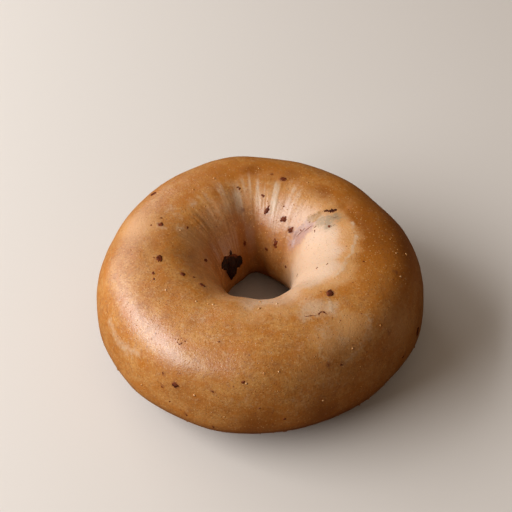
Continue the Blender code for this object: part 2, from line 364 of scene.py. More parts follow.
class BagelStage(bpy.types.PropertyGroup):
    """The floor, the soft window light and the camera."""
    floor: colour_property("Floor", "Pale matt floor", "#E0DCD8")
    card: colour_property("Card", "Warm card that throws light back up at the bagel", "#62402A")
    sky: colour_property("Sky", "Colour of the even light all round", "#FFE5CA")
    key_power: plain_property("Key power", "Power of the window light, in watts", 10.4)
    rear_power: plain_property("Rear power", "Power of the rear light, in watts", 2.4)
    ambient: plain_property("Ambient", "Strength of the even light all round", 0.22)
    lens: plain_property("Lens", "Focal length of the camera, in millimetres", 83.5)


def bell(angle, middle, width):
    """A smooth hump of height 1 at the middle angle. Angles in degrees."""
    turn = (np.asarray(angle) - middle + 180) % 360 - 180
    return np.exp(-(turn / width) ** 2)


def smooth_step(value, low, high):
    """0 below low, 1 above high, and smooth between."""
    share = np.clip((np.asarray(value) - low) / (high - low), 0, 1)
    return share * share * (3 - 2 * share)


def band(value, rise_start, rise_end, fall_start, fall_end):
    """1 between a smooth rise and a smooth fall, and 0 outside them."""
    fall = smooth_step(value, fall_start, fall_end)
    return smooth_step(value, rise_start, rise_end) * (1 - fall)


def waves(bearing, terms):
    """Sum of the slow waves at bearings in degrees."""
    turn = np.radians(bearing)
    return sum(c * np.cos(k * turn) + s * np.sin(k * turn) for k, c, s in terms)


def between_rows(bearing, rows):
    """The values of a closed list of rows at bearings, eased from row to row."""
    last = rows[0][0] + 360
    knots = np.array([row[0] for row in rows] + [last], float)
    place = (np.asarray(bearing, float) - knots[0]) % 360 + knots[0]
    left = np.clip(np.searchsorted(knots, place, side="right") - 1, 0, len(rows) - 1)
    share = smooth_step(place, knots[left], knots[left + 1])
    columns = np.array([row[1:] for row in rows] + [rows[0][1:]], float)
    return [(1 - share) * column[left] + share * column[left + 1] for column in columns.T]


def scar_place(bearing, tube, ring):
    """The share of the way along the torn scar, and the distance from its line, to the left or
    right of it."""
    mid_radius = 0.5 * (ring.hole_radius + ring.crest_radius)
    tube_radius = 0.5 * ring.height
    scale = np.array((math.radians(1) * mid_radius, math.radians(1) * tube_radius))
    start = np.array(SCAR_START) * scale
    way = np.array(SCAR_END) * scale - start
    turn = (np.asarray(bearing) + 180) % 360 - 180
    place = np.stack(np.broadcast_arrays(turn * scale[0], np.asarray(tube) * scale[1]), -1)
    along = (place - start) @ way / (way @ way)
    nearest = start + np.clip(along, 0, 1)[..., None] * way
    gap = np.linalg.norm(place - nearest, axis=-1)
    side = np.sign(way[0] * (place - start)[..., 1] - way[1] * (place - start)[..., 0])
    return along, gap * side


def broad_relief(bearing, tube, ring):
    """How far folds, dimples and the scar lift the crust, as in the solid."""
    turn = np.radians(bearing)
    section = np.radians(tube)
    strength = np.exp(-((tube - FOLD_TUBE) / FOLD_TUBE_SPREAD) ** 2)
    strength = strength * bell(bearing, FOLD_BEARING, FOLD_BEARING_SPREAD)
    lift = sum(depth * strength * np.sin(count * turn + count) for count, depth in FOLDS)
    for count, tube_count, depth in DIMPLES:
        round_ring = np.sin(count * turn + 2 * count)
        lift = lift + depth * round_ring * np.cos(tube_count * section + count)
    gap = scar_place(bearing, tube, ring)[1]
    return lift - SCAR_DEPTH * np.exp(-(gap / SCAR_WIDTH) ** 2)


def crust_points(bearing, tube, ring, fine_lift=0.0, lip=0.0):
    """Points of the crust at bearings round the ring and angles round its section."""
    turn = np.radians(bearing)
    section = np.radians(tube)
    outward = np.cos(section) >= 0
    upward = np.sin(section) >= 0
    outer = ring.outer_radius + waves(bearing, OUTLINE_WAVES)
    hole = ring.hole_radius + waves(bearing, HOLE_WAVES)
    hole = hole + ring.crease_depth * bell(bearing, CREASE_BEARING, CREASE_WIDTH)
    height = ring.height + waves(bearing, HEIGHT_WAVES)
    crest = ring.crest_radius * outer / ring.outer_radius
    crest = crest + CREST_FOLLOWS_HOLE * (hole - ring.hole_radius)
    reach = np.where(outward, outer - crest, crest - hole)
    waist = height * np.where(outward, OUTER_WAIST, HOLE_WAIST)
    sink = np.where(outward, FOOT_OUTER_SINK, FOOT_INNER_SINK)
    rise = np.where(upward, height - waist, waist + sink)
    fullness = sum(np.maximum(np.cos(section - math.radians(middle)), 0) ** 2 * value
                   for middle, value in FULLNESS)
    power = 2 / fullness
    radius = crest + reach * np.sign(np.cos(section)) * np.abs(np.cos(section)) ** power
    z = waist + rise * np.sign(np.sin(section)) * np.abs(np.sin(section)) ** power
    lift = broad_relief(bearing, tube, ring) * np.clip(z / RELIEF_FADE, 0, 1)
    lift = lift + fine_lift
    radius = radius + lift * np.cos(section)
    radius = radius + lip * np.where(outward, np.exp(-(z / LIP_HEIGHT) ** 2), 0)
    z = np.maximum(z + lift * np.sin(section), 0)
    x = radius * np.cos(turn) - RING_MIDDLE[0]
    y = radius * np.sin(turn) - RING_MIDDLE[1]
    return np.stack(np.broadcast_arrays(x, y, z), -1)


def crust_frame(bearing, tube, ring, turn=0.0):
    """A matrix at a place on the crust: X along the ring, Y up the section, Z out of it. It may
    be turned about Z by an angle in radians."""
    step = 1.5
    bearings = np.array((bearing, bearing + step, bearing - step, bearing, bearing))
    tubes = np.array((tube, tube, tube, tube + step, tube - step))
    here, ahead, behind, above, below = (Vector(p) for p in crust_points(bearings, tubes, ring))
    along = (ahead - behind).normalized()
    out = along.cross(above - below).normalized()
    rotation = Matrix((along, out.cross(along), out)).transposed().to_4x4()
    return Matrix.Translation(here) @ rotation @ Matrix.Rotation(turn, 4, "Z")


def ring_noise(bearing, tube, around, along, seed):
    """Noise over the ring: patches in a turn are set by around, and over the section by along."""
    turn = np.radians(bearing)
    places = np.stack((np.cos(turn) * around, np.sin(turn) * around, np.radians(tube) * along), -1)
    places += seed
    return np.array([noise.noise(place) for place in places])


def space_noise(points, size, seed):
    """Noise in space, with features of about one size."""
    return np.array([noise.noise(place) for place in points / size + seed])


def gaps(points, ring, bearing, tube):
    """Distances of points from a place of the crust."""
    spot = np.array(crust_frame(bearing, tube, ring).translation)
    return np.linalg.norm(points - spot, axis=1)


def line_nearness(points, ring, places, width):
    """1 on a line through places of the crust, falling to 0 over a width."""
    spots = [np.array(crust_frame(*place, ring).translation) for place in places]
    best = np.full(len(points), np.inf)
    for start, end in zip(spots, spots[1:]):
        way = end - start
        share = np.clip((points - start) @ way / (way @ way), 0, 1)
        best = np.minimum(best, np.linalg.norm(points - start - share[:, None] * way, axis=1))
    return np.exp(-(best / width) ** 2)


def spots_mask(points, ring, rows):
    """Soft spots of (bearing, tube angle, radius mm, strength) on the crust."""
    mask = np.zeros(len(points))
    for bearing, tube, radius, strength in rows:
        gap = gaps(points, ring, bearing, tube) / (radius * MM)
        mask = np.maximum(mask, strength * np.exp(-gap ** 2))
    return mask


def bit_rows():
    """The fruit bits as in the solid: (bearing, tube, length mm, width mm, turn, shown)."""
    chance = random.Random(SEED)
    rows = [(*row, number not in BITS_UNDER_SKIN) for number, row in enumerate(BIG_BITS)]
    for _ in range(LUMP_DRAWS * len(rows)):
        chance.random()
    share = (SIDE_BEARINGS[1] - SIDE_BEARINGS[0]) / SIDE_BITS
    for number in range(SIDE_BITS):
        bearing = SIDE_BEARINGS[0] + share * (number + chance.uniform(0.2, 0.8))
        tube = chance.uniform(*SIDE_TUBES)
        length = chance.uniform(*SIDE_LENGTHS)
        width = length * chance.uniform(0.6, 0.85)
        turn = chance.uniform(0, 180)
        rows.append((bearing, tube, length, width, turn, len(rows) not in BITS_UNDER_SKIN))
        for _ in range(LUMP_DRAWS):
            chance.random()
    return rows


def link_mesh(name, bm):
    """Turn a bmesh into a smooth-shaded object of the scene."""
    mesh = bpy.data.meshes.new(name)
    bm.to_mesh(mesh)
    bm.free()
    mesh.shade_smooth()
    thing = bpy.data.objects.new(name, mesh)
    bpy.context.scene.collection.objects.link(thing)
    return thing


def dress(thing, replaced=None):
    """Tie a finished piece to the bagel's body, and hide the part of the solid that it replaces.
    """
    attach(thing, BODY)
    if replaced:
        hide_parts(replaced)


def add_node(tree, kind, inputs=None, output=0, **settings):
    """Add a node, set its properties, set or link its inputs, and give the output asked for."""
    node = tree.nodes.new(kind)
    for key, value in settings.items():
        setattr(node, key, value)
    for key, value in (inputs or {}).items():
        if isinstance(value, bpy.types.NodeSocket):
            tree.links.new(value, node.inputs[key])
        else:
            node.inputs[key].default_value = value
    return node.outputs[output]


def new_material(name):
    """A node material, with its tree, its shader and its Object coordinates."""
    material = bpy.data.materials.new(name)
    material.use_nodes = True
    tree = material.node_tree
    shader = tree.nodes["Principled BSDF"]
    place = add_node(tree, "ShaderNodeTexCoord", output="Object")
    return material, tree, shader, place


def crust_material(colours):
    """Boiled and baked wheat crust. Boiling gelled its skin, so it browned in fine mottles under
    a thin gloss, with open pores, and it stayed pale and dull where the dough was stretched."""
    material, tree, shader, place = new_material("Boiled and baked bagel crust")
    noises = {}
    for size_mm, detail in ((9.0, 4.0), (5.0, 4.0), (2.4, 3.0), (1.2, 3.0), (0.7, 2.0)):
        noises[size_mm] = add_node(tree, "ShaderNodeTexNoise", {
            "Vector": place, "Scale": 1 / (size_mm * MM), "Detail": detail, "Roughness": 0.6})

    # Mottles of the browning: (noise size in mm, from, to, most, colour)
    mottles = (
        (9.0, 0.38, 0.64, 1.0, colours.tan),
        (5.0, 0.48, 0.66, 0.5, colours.amber),
        (2.4, 0.5, 0.66, 0.45, colours.deep_browning_and_shade),
        (1.2, 0.5, 0.66, 0.4, colours.grain),
        (0.7, 0.5, 0.66, 0.45, colours.deep_browning_and_shade),
    )
    colour = colours.golden
    for size_mm, low, high, most, tint in mottles:
        share = add_node(tree, "ShaderNodeMapRange", {
            "Value": noises[size_mm], "From Min": low, "From Max": high, "To Max": most},
            interpolation_type="SMOOTHSTEP")
        colour = add_node(tree, "ShaderNodeMix", {0: share, 6: colour, 7: tint}, output=2,
                          data_type="RGBA")

    # Marks of the mesh, each broken up by a noise: (name, noise size in mm, raggedness, from,
    # to, most, colour)
    marks = (
        ("amber", 5.0, 0.5, 0.1, 0.9, 0.9, colours.amber),
        ("brushed", 2.4, 0.7, 0.0, 0.7, 0.6, colours.amber),
        ("deep_browning_and_shade", 5.0, 0.3, 0.05, 0.95, 0.9, colours.deep_browning_and_shade),
        ("light", 2.4, 0.5, 0.1, 0.9, 0.75, colours.soft),
        ("scuff", 1.2, 0.8, 0.1, 0.9, 0.65, colours.dried),
        ("pale", 2.4, 0.3, 0.02, 1.0, 0.93, colours.cream),
        ("streak", 2.4, 0.6, 0.0, 1.15, 0.7, colours.thread),
        ("vein", 1.2, 0.9, 0.1, 0.85, 0.8, colours.dried),
        ("stain", 1.2, 1.4, 0.2, 0.95, 0.9, colours.stain),
        ("ash", 1.2, 1.4, 0.2, 0.95, 0.95, colours.ash),
        ("honey", 1.2, 0.8, 0.15, 0.7, 0.95, colours.honey),
        ("juice", 1.2, 0.6, 0.1, 0.8, 0.8, colours.juice),
        ("foot", 1.2, 1.2, 0.3, 0.8, 0.5, colours.foot),
    )
    shares = {}
    for name, size_mm, ragged, low, high, most, tint in marks:
        mark = add_node(tree, "ShaderNodeAttribute", output="Fac", attribute_name=name)
        edge = add_node(tree, "ShaderNodeMath", {0: noises[size_mm], 1: ragged, 2: mark},
                        operation="MULTIPLY_ADD")
        shares[name] = add_node(tree, "ShaderNodeMapRange", {
            "Value": edge, "From Min": low + 0.5 * ragged, "From Max": high + 0.5 * ragged,
            "To Max": most}, interpolation_type="SMOOTHSTEP")
        colour = add_node(tree, "ShaderNodeMix", {0: shares[name], 6: colour, 7: tint}, output=2,
                          data_type="RGBA")

    # Dots in some of the cells of a pattern: (cell size in mm, radius in cells, share, colour)
    dots = (
        (0.85, 0.25, 0.35, colours.deep_browning_and_shade),
        (1.1, 0.26, 0.6, colours.grain),
        (3.1, 0.12, 0.35, colours.juice),
    )
    pits = None
    for size_mm, radius, chosen, tint in dots:
        cells = {"Vector": place, "Scale": 1 / (size_mm * MM)}
        reach = add_node(tree, "ShaderNodeTexVoronoi", cells, output="Distance")
        pick = add_node(tree, "ShaderNodeTexVoronoi", cells, output="Color")
        near = add_node(tree, "ShaderNodeMapRange", {
            "Value": reach, "From Min": radius, "From Max": 0.4 * radius, "To Max": 0.75})
        some = add_node(tree, "ShaderNodeMath", {0: chosen, 1: pick}, operation="GREATER_THAN")
        spot = add_node(tree, "ShaderNodeMath", {0: near, 1: some}, operation="MULTIPLY")
        pits = pits or spot
        colour = add_node(tree, "ShaderNodeMix", {0: spot, 6: colour, 7: tint}, output=2,
                          data_type="RGBA")
    tree.links.new(colour, shader.inputs["Base Color"])

    # The gloss is broken, and the dried and stretched parts are dull: (mark, added roughness)
    gloss = add_node(tree, "ShaderNodeMapRange", {
        "Value": noises[2.4], "From Min": 0.3, "From Max": 0.7, "To Min": 0.33, "To Max": 0.43})
    for name, added in (("pale", 0.24), ("scuff", 0.16), ("foot", 0.3), ("vein", 0.12)):
        gloss = add_node(tree, "ShaderNodeMath", {0: shares[name], 1: added, 2: gloss},
                         operation="MULTIPLY_ADD")
    tree.links.new(gloss, shader.inputs["Roughness"])
    finish = {"IOR": 1.6, "Specular IOR Level": 0.78, "Specular Tint": linear_colour("#E4F4FF"),
              "Subsurface Weight": 0.06, "Subsurface Radius": (1.0, 0.4, 0.15),
              "Subsurface Scale": 1.2 * MM}
    for socket, value in finish.items():
        shader.inputs[socket].default_value = value

    skin = add_node(tree, "ShaderNodeBump", {
        "Height": noises[1.2], "Strength": 0.8, "Distance": 0.08 * MM})
    skin = add_node(tree, "ShaderNodeBump", {
        "Height": noises[0.7], "Strength": 0.8, "Distance": 0.1 * MM, "Normal": skin})
    skin = add_node(tree, "ShaderNodeBump", {
        "Height": pits, "Strength": 0.8, "Distance": 0.1 * MM, "Normal": skin}, invert=True)
    tree.links.new(skin, shader.inputs["Normal"])
    return material


def small_thing_material(name, colour, darker, rim_colour, size_mm, roughness, bump_mm,
                         shine=0.5):
    """A small thing's material: a colour broken by a darker one, with relief of the same size from
    the same noise, so that the darker colour lies in the hollows as painted shade as well as the
    thing's own tone, and the crust's tint at its rim, so that it looks baked in."""
    material, tree, shader, place = new_material(name)
    spots = add_node(tree, "ShaderNodeTexNoise", {
        "Vector": place, "Scale": 1 / (size_mm * MM), "Detail": 3.0})
    share = add_node(tree, "ShaderNodeMapRange", {
        "Value": spots, "From Min": 0.35, "From Max": 0.65})
    broken = add_node(tree, "ShaderNodeMix", {0: share, 6: darker, 7: colour}, output=2,
                      data_type="RGBA")
    rim = add_node(tree, "ShaderNodeAttribute", output="Fac", attribute_name="rim")
    edged = add_node(tree, "ShaderNodeMix", {0: rim, 6: broken, 7: rim_colour}, output=2,
                     data_type="RGBA")
    tree.links.new(edged, shader.inputs["Base Color"])
    bump = add_node(tree, "ShaderNodeBump", {
        "Height": spots, "Strength": 0.7, "Distance": bump_mm * MM})
    tree.links.new(bump, shader.inputs["Normal"])
    shader.inputs["Roughness"].default_value = roughness
    shader.inputs["Specular IOR Level"].default_value = shine
    return material


def plain_ring(ring):
    """A round section spun into a ring, as a mesh, with each vertex's bearing and tube angle."""
    bm = bmesh.new()
    spin_radius = 0.5 * (ring.outer_radius + ring.hole_radius)
    section_radius = 0.5 * (ring.outer_radius - ring.hole_radius)
    stand = Matrix.Translation((spin_radius, 0, 0)) @ Matrix.Rotation(math.pi / 2, 4, "X")
    section = bmesh.ops.create_circle(
        bm, cap_ends=False, segments=ring.steps_section, radius=section_radius, matrix=stand)
    bmesh.ops.spin(
        bm, geom=section["verts"] + bm.edges[:], cent=(0, 0, 0), axis=(0, 0, 1), dvec=(0, 0, 0),
        angle=math.tau, steps=ring.steps_around, use_merge=True)
    bmesh.ops.recalc_face_normals(bm, faces=bm.faces)
    thing = link_mesh("bagel_crust", bm)
    spots = np.empty(len(thing.data.vertices) * 3)
    thing.data.vertices.foreach_get("co", spots)
    spots = spots.reshape(-1, 3)
    bearing = np.degrees(np.arctan2(spots[:, 1], spots[:, 0])) % 360
    tube = np.degrees(np.arctan2(spots[:, 2], np.hypot(spots[:, 0], spots[:, 1]) - spin_radius))
    tube = np.where(tube < -90, tube + 360, tube)
    return thing, bearing, tube


def crust_marks(bearing, tube, points, ring):
    """Masks of the crust's finish and of its painted shade and light at each vertex, by name.
    Bearings and tube angles are always in degrees, and a tube angle is 0 at the side, 90 on top
    and 180 in the hole."""
    warp = np.stack([space_noise(points, WARP_SIZE, seed) for seed in WARP_SEEDS], -1)
    warped = points + WARP_REACH * warp

    # Pale crust towards the hole and the lighter rim outside it, both ending above the underside
    edge, paleness = between_rows(bearing, PALE_EDGE)
    wobble = 5 * ring_noise(bearing, tube, 5, 1.5, 3.1) + 3 * ring_noise(bearing, tube, 13, 4, 8.4)
    soft = 9 + 14 * bell(bearing, 88, 40)
    pale = paleness * smooth_step(tube + wobble, edge - 6, edge + soft)
    light = paleness * smooth_step(tube + wobble, edge - 17, edge - 5)
    under = smooth_step(tube, 205, 252) + 1 - smooth_step(tube, -78, -60)
    pale = pale * (1 - under)
    light = light * (1 - under)

    # Pull streaks and fibres of the stretched skin down the hole's rear wall
    rear = bell(bearing, 88, 42) * band(tube, 82, 100, 116, 150)
    fibres = ring_noise(bearing, tube, 24, 0.9, 21.0)
    fibres += 0.6 * ring_noise(bearing, tube, 50, 1.6, 5.0)
    streak = 1.05 * rear * fibres
    sway = 1.1 * ring_noise(bearing, tube, 9, 1.6, 30.0)
    for middle, low, high, strength in STREAKS:
        reach = band(tube, low - 5, low + 4, high - 10, high + 8)
        streak += strength * reach * bell(bearing + sway, middle, 2.8)

    # Richly browned flank, back and inner left. Further down, painted shade darkens the hole's
    # lower rear wall and the lower sides, which are also browner there
    right = bell(bearing, 8, 46) * band(tube, 12, 55, 88, 98)
    back = bell(bearing, 95, 55) * band(tube, 62, 78, 90, 102)
    inner = bell(bearing, 155, 50) * band(tube, 80, 92, 118, 140)
    amber = np.maximum(np.maximum(right, 0.7 * back), 0.35 * inner)
    between_fibres = rear * np.maximum(-fibres, 0)
    deep_browning_and_shade = 0.8 * right * bell(bearing, 10, 36) + 0.3 * back + 0.5 * between_fibres
    # Painted shade low on the hole's rear wall: darker there, and less pale and light
    low_rear_shade = bell(bearing, 98, 55) * smooth_step(tube, 112, 150)
    deep_browning_and_shade = np.maximum(deep_browning_and_shade, 0.6 * low_rear_shade)
    pale = pale * (1 - 0.65 * low_rear_shade)
    deep_browning_and_shade = np.maximum(deep_browning_and_shade, spots_mask(warped, ring, BROWNED_AND_SHADED))
    # The lower sides darken towards the foot. This is partly browner crust and partly painted
    # shade, strongest at the front right
    low_side_browning_and_shade = 1 - smooth_step(tube, -30, 12 + 16 * bell(bearing, 330, 50))
    low_side_browning_and_shade = low_side_browning_and_shade * smooth_step(tube, -75, -55)
    deep_browning_and_shade = np.maximum(deep_browning_and_shade, (0.7 + 0.25 * bell(bearing, 290, 60)) * low_side_browning_and_shade)
    deep_browning_and_shade = np.maximum(deep_browning_and_shade, 0.55 * under)
    # The lighter patches, two of which are painted light
    light = np.maximum(light * (1 - low_rear_shade), spots_mask(warped, ring, LIGHTER_AND_LIT))

    # Mottles drawn out along the ring, as the rope of dough was rolled
    brushed = ring_noise(bearing, tube, 5, 8, 33.0) + 0.6 * ring_noise(bearing, tube, 11, 19, 44.0)
    brushed = brushed * (1 - under)

    vein = np.zeros(len(points))
    for width, strength, places in VEINS:
        near = line_nearness(warped, ring, places, width * MM)
        vein = np.maximum(vein, strength * near)
    foot = np.exp(-((tube + 55) / 7) ** 2)
    marks = {"amber": amber, "brushed": brushed, "deep_browning_and_shade": deep_browning_and_shade, "light": light, "pale": pale,
             "streak": streak, "vein": vein, "foot": foot}
    for name, rows in (("scuff", SCUFFS), ("stain", STAINED), ("honey", HONEYED),
                       ("ash", ASHEN), ("juice", JUICED)):
        marks[name] = spots_mask(warped, ring, rows)
    return marks


def fine_lift(bearing, tube, base, ring):
    """How far wrinkles, torn skin and small unevenness lift the crust at each vertex."""
    pull = ring_noise(bearing, tube, 22, 0.7, 2.0) + 0.6 * ring_noise(bearing, tube, 46, 1.2, 9.0)
    rear = np.maximum(bell(bearing, 92, 62), bell(bearing, 150, 34))
    rear *= band(tube, 90, 120, 190, 225)
    lift = ring.wrinkle_depth * pull * rear * (0.6 + ring_noise(bearing, tube, 4, 2, 40.0))
    lift += 0.25 * ring.wrinkle_depth * rear * ring_noise(bearing, tube, 80, 3.5, 13.0)
    for share, size_mm, seed in ((1.6, 7.0, 4.0), (0.6, 2.4, 14.0), (0.3, 1.1, 24.0)):
        lift += share * ring.skin_depth * space_noise(base, size_mm * MM, seed)
    along, gap = scar_place(bearing, tube, ring)
    torn = np.exp(-(gap / SCAR_WIDTH) ** 4) * smooth_step(along, -0.3, 0.0)
    torn *= 1 - smooth_step(along, 1.0, 1.2)
    creases = np.abs(ring_noise(along * 60 + gap / MM * 4, gap / MM * 50, 3, 2.2, 17.0))
    lift += torn * (TORN_CREASES * creases - TORN_SINK)
    lift += TORN_RIDGE * torn * smooth_step(gap, 0.3 * SCAR_WIDTH, 0.9 * SCAR_WIDTH)
    return lift


class BAGEL_OT_crust(bpy.types.Operator):
    """Build the fine crust that stands for the solid bagel"""
    bl_idname = "bagel.crust"
    bl_label = "Build crust"

    def execute(self, context):
        ring = context.scene.bagel_ring
        thing, bearing, tube = plain_ring(ring)
        base = crust_points(bearing, tube, ring)
        marks = crust_marks(bearing, tube, base, ring)
        lift = fine_lift(bearing, tube, base, ring) + VEIN_LIFT * marks["vein"]
        halo = np.zeros(len(base))
        for bit_bearing, bit_tube, _, width, _, shown in bit_rows():
            gap = gaps(base, ring, bit_bearing, bit_tube) / (0.5 * MM * width)
            if shown:
                lift += COLLAR_LIFT * np.exp(-((gap - 1.4) / 0.4) ** 2)
                halo = np.maximum(halo, 0.7 * np.exp(-(gap / 1.3) ** 4))
            else:
                lift += COVERED_LIFT * np.exp(-(gap / 1.2) ** 2)
        marks["juice"] = np.maximum(marks["juice"], halo)
        lip = LIP_REACH * (0.5 + 0.9 * ring_noise(bearing, tube, 30, 0.2, 6.0))
        lift *= smooth_step(base[:, 2], 0, FINE_FADE)
        points = crust_points(bearing, tube, ring, lift, lip)
        mesh = thing.data
        mesh.vertices.foreach_set("co", points.ravel())
        for name, values in marks.items():
            mask = mesh.attributes.new(name, "FLOAT", "POINT")
            mask.data.foreach_set("value", np.clip(values, -1, 1).astype(np.float32))
        mesh.update()
        mesh.materials.append(crust_material(context.scene.bagel_colours))
        dress(thing, NODE)
        return {"FINISHED"}


def add_lump(bm, place, size, chance, sunk, roughness, detail):
    """Add a knobbly lump to a bmesh at a place of the crust, sunk by a share of its half height,
    and mark how close its surface is to the crust."""
    rim = bm.verts.layers.float.get("rim") or bm.verts.layers.float.new("rim")
    lump = bmesh.ops.create_icosphere(bm, subdivisions=detail, radius=1)
    seed = Vector((chance.uniform(0, 90), chance.uniform(0, 90), chance.uniform(0, 90)))
    for vertex in lump["verts"]:
        ripple = noise.noise(vertex.co * 1.2 + seed) + 0.6 * noise.noise(vertex.co * 2.9 + seed)
        vertex.co *= 1 + roughness * ripple
        height = 0.5 * size[2] * (vertex.co.z - sunk)
        vertex[rim] = 1 - min(max(height / RIM_HEIGHT, 0), 1)
    grow = Matrix.Diagonal((0.5 * size[0], 0.5 * size[1], 0.5 * size[2], 1))
    sink = Matrix.Translation((0, 0, -sunk * 0.5 * size[2]))
    bmesh.ops.transform(bm, matrix=place @ sink @ grow, verts=lump["verts"])
    return lump["verts"]


def finish_lumps(name, bm, material):
    """Turn a bmesh of lumps into a dressed piece."""
    bmesh.ops.recalc_face_normals(bm, faces=bm.faces)
    thing = link_mesh(name, bm)
    thing.data.materials.append(material)
    dress(thing)


class BAGEL_OT_fruit_bits(bpy.types.Operator):
    """Build the bits and specks of dried fruit in the crust"""
    bl_idname = "bagel.fruit_bits"
    bl_label = "Build fruit bits"

    def execute(self, context):
        ring = context.scene.bagel_ring
        colours = context.scene.bagel_colours
        chance = random.Random(SPECK_SEED)
        # A bit stands half as high as it is wide, and is sunk by a share of its half height
        rows = [(bearing, tube, 1.02 * length, 0.92 * width, turn, 0.5 * width, 0.4)
                for bearing, tube, length, width, turn, shown in bit_rows() if shown]
        for bearing, tube, length in SPECKS:
            width = length * chance.uniform(0.5, 0.85)
            rows.append((bearing, tube, length, width, chance.uniform(0, 180), 0.5 * width, 0.45))
        large = [row for row in rows if row[2] > LARGE_BIT]
        large += [(*row, 0.45 * row[3], 0.4) for row in WINGS]
        small = [row for row in rows if row[2] <= LARGE_BIT]
        # Dried skin is dull, wrinkled and reddish, and darker in its folds, partly painted shade
        skin = small_thing_material(
            "Dried fruit skin", colours.fruit, colours.tear, colours.juice, size_mm=0.9,
            roughness=0.6, bump_mm=0.14, shine=0.18)
        # Flesh dried in the oven is nearly black, with coarser folds
        flesh = small_thing_material(
            "Dark dried fruit flesh", colours.flesh, colours.flesh_fold, colours.juice,
            size_mm=1.3, roughness=0.6, bump_mm=0.3, shine=0.25)
        for name, group, roughness, detail, material in (
                ("fruit_bits", small, 0.6, 3, skin), ("large_fruit_bit", large, 0.42, 4, flesh)):
            bm = bmesh.new()
            for bearing, tube, length, width, turn, height, sunk in group:
                place = crust_frame(bearing, tube, ring, math.radians(turn))
                size = (length * MM, width * MM, height * MM)
                add_lump(bm, place, size, chance, sunk, roughness, detail)
            finish_lumps(name, bm, material)
        return {"FINISHED"}


class BAGEL_OT_tears(bpy.types.Operator):
    """Build the dark tears of the scar and of the split skin"""
    bl_idname = "bagel.tears"
    bl_label = "Build tears"

    def execute(self, context):
        ring = context.scene.bagel_ring
        colours = context.scene.bagel_colours
        chance = random.Random(TEAR_SEED)
        bm = bmesh.new()
        for width, places in TEARS:
            legs = len(places) - 1
            for leg, (start, end) in enumerate(zip(places, places[1:])):
                way = crust_frame(*start, ring).inverted() @ crust_frame(*end, ring).translation
                turn = math.atan2(way.y, way.x)
                steps = max(2, round(way.length / TEAR_STEP))
                for step in range(steps):
                    share = (step + chance.uniform(0.2, 0.8)) / steps
                    bearing = start[0] + share * (end[0] - start[0])
                    tube = start[1] + share * (end[1] - start[1])
                    taper = 0.3 + 0.7 * math.sin(math.pi * (leg + share) / legs)
                    wide = width * taper * chance.uniform(0.6, 1.2) * MM
                    size = (TEAR_SHRED, wide, 0.35 * wide)
                    place = crust_frame(bearing, tube, ring, turn + chance.uniform(-0.25, 0.25))
                    add_lump(bm, place, size, chance, sunk=0.2, roughness=0.5, detail=2)
        # The thin edge of a tear scorched dull and dark
        finish_lumps("crust_tears", bm, small_thing_material(
            "Scorched inside of torn crust", colours.tear, colours.scorch, colours.juice,
            size_mm=0.6, roughness=0.8, bump_mm=0.06, shine=0.2))
        return {"FINISHED"}


class BAGEL_OT_blisters(bpy.types.Operator):
    """Build the tiny glossy bubbles of the crust's skin"""
    bl_idname = "bagel.blisters"
    bl_label = "Build blisters"

    def execute(self, context):
        ring = context.scene.bagel_ring
        colours = context.scene.bagel_colours
        chance = random.Random(BLISTER_SEED)
        places = [(*place, BLISTER_WIDTH) for place in BLISTERS]
        for _ in range(CHANCE_BLISTERS):
            places.append((chance.uniform(0, 360), chance.uniform(-20, 125),
                           CHANCE_BLISTER_WIDTH))
        bm = bmesh.new()
        for bearing, tube, largest in places:
            wide = largest * chance.uniform(0.7, 1.1) * MM
            size = (wide * chance.uniform(1.0, 1.4), wide, 0.8 * wide)
            place = crust_frame(bearing, tube, ring, chance.uniform(0, math.pi))
            add_lump(bm, place, size, chance, sunk=0.2, roughness=0.2, detail=1)
        # The skin of a bubble is thin, pale and glossy, so that it glints, and its pale colour is
        # partly a painted glint
        finish_lumps("blisters", bm, small_thing_material(
            "Glossy crust bubbles", colours.blister_and_glint, colours.golden, colours.golden,
            size_mm=1.0, roughness=0.22, bump_mm=0.03))
        return {"FINISHED"}


class BAGEL_OT_crumbs(bpy.types.Operator):
    """Build the crumbs and meal stuck round the bagel's foot"""
    bl_idname = "bagel.crumbs"
    bl_label = "Build foot crumbs"

    def execute(self, context):
        ring = context.scene.bagel_ring
        colours = context.scene.bagel_colours
        chance = random.Random(CRUMB_SEED)
        bm = bmesh.new()
        for _ in range(CRUMBS):
            bearing = chance.uniform(0, 360)
            wide = chance.uniform(0.35, 0.95) * MM
            size = (wide * chance.uniform(1.0, 1.7), wide, 0.8 * wide)
            tube = chance.triangular(-55, -5, -45)
            place = crust_frame(bearing, tube, ring, chance.uniform(0, math.pi))
            lump = add_lump(bm, place, size, chance, sunk=0.1, roughness=0.5, detail=1)
            for vertex in lump:
                vertex.co.z = max(vertex.co.z, 0)
        # Crumbs and meal from the baking sheet are dull, pale and rough
        finish_lumps("foot_crumbs", bm, small_thing_material(
            "Toasted crumbs", colours.crumb, colours.deep_browning_and_shade, colours.golden, size_mm=0.8,
            roughness=0.75, bump_mm=0.08))
        return {"FINISHED"}


def lay_sheet(name, height, finish, colour):
    """Lay a wide flat sheet of the stage. It is matt and even, so that nothing glints in it."""
    bm = bmesh.new()
    bmesh.ops.create_grid(bm, x_segments=1, y_segments=1, size=3.0)
    bmesh.ops.translate(bm, verts=bm.verts, vec=(0, 0, height))
    sheet = link_mesh(name, bm)
    material, _, shader, _ = new_material(finish)
    shader.inputs["Base Color"].default_value = colour
    shader.inputs["Roughness"].default_value = 0.8
    sheet.data.materials.append(material)
    return sheet


